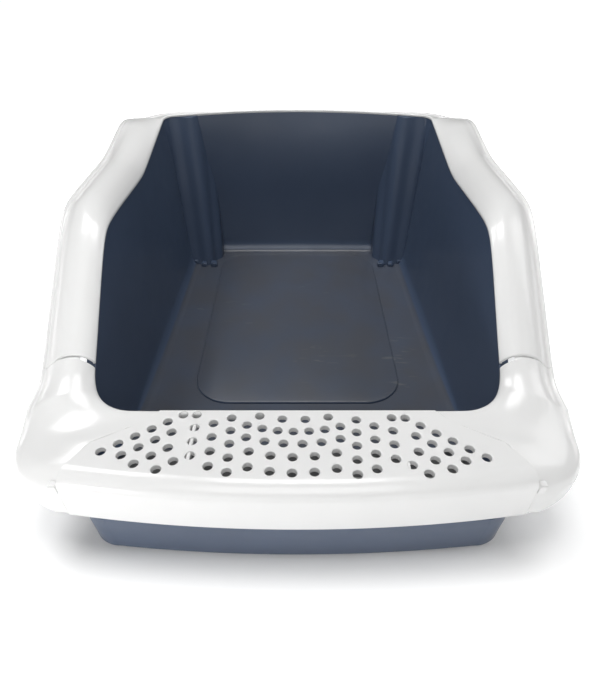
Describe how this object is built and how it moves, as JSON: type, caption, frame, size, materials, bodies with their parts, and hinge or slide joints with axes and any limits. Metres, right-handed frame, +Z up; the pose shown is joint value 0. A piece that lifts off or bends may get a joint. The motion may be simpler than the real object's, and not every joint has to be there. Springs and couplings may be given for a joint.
{
  "type": "cat litter box",
  "caption": "Open-topped cat litter box: deep tub, two-piece splash-guard hood rising to the rear, and a perforated step pedal that flips up.",
  "frame": {"origin": "on the floor under the middle of the box's overall outline", "axes": "+X to the box's right seen from the entrance side, +Y from the entrance to the rear, +Z up"},
  "size_m": [0.43, 0.545, 0.1995],
  "materials": {
    "tub_plastic": "glossy injection-moulded slate blue polypropylene",
    "hood_plastic": "glossy injection-moulded white polypropylene",
    "pedal_plastic": "satin white polypropylene",
    "pin_steel": "plain steel wire",
    "foot_rubber": "matte grey rubber"
  },
  "bodies": {
    "tub": {"tub": "tub_plastic", "foot_front_left": "foot_rubber", "foot_front_right": "foot_rubber", "foot_rear_left": "foot_rubber", "foot_rear_right": "foot_rubber"},
    "collar": {"front_collar": "hood_plastic", "hinge_pin_left": "pin_steel", "hinge_pin_right": "pin_steel"},
    "guard": {"rear_guard": "hood_plastic"},
    "pedal": {"pedal": "pedal_plastic"}
  },
  "joints": [
    {"name": "hood_lift", "type": "slide", "parent": "tub", "child": "collar", "axis": [0, 0, 1], "range_m": [0, 0.17]},
    {"name": "guard_release", "type": "slide", "parent": "collar", "child": "guard", "axis": [0, 0, 1], "range_m": [0, 0.06]},
    {"name": "pedal_flip", "type": "hinge", "parent": "collar", "child": "pedal", "pos_m": [0, -0.1965, 0.0808], "axis": [-1, 0, 0], "range_deg": [0, 105]}
  ]
}
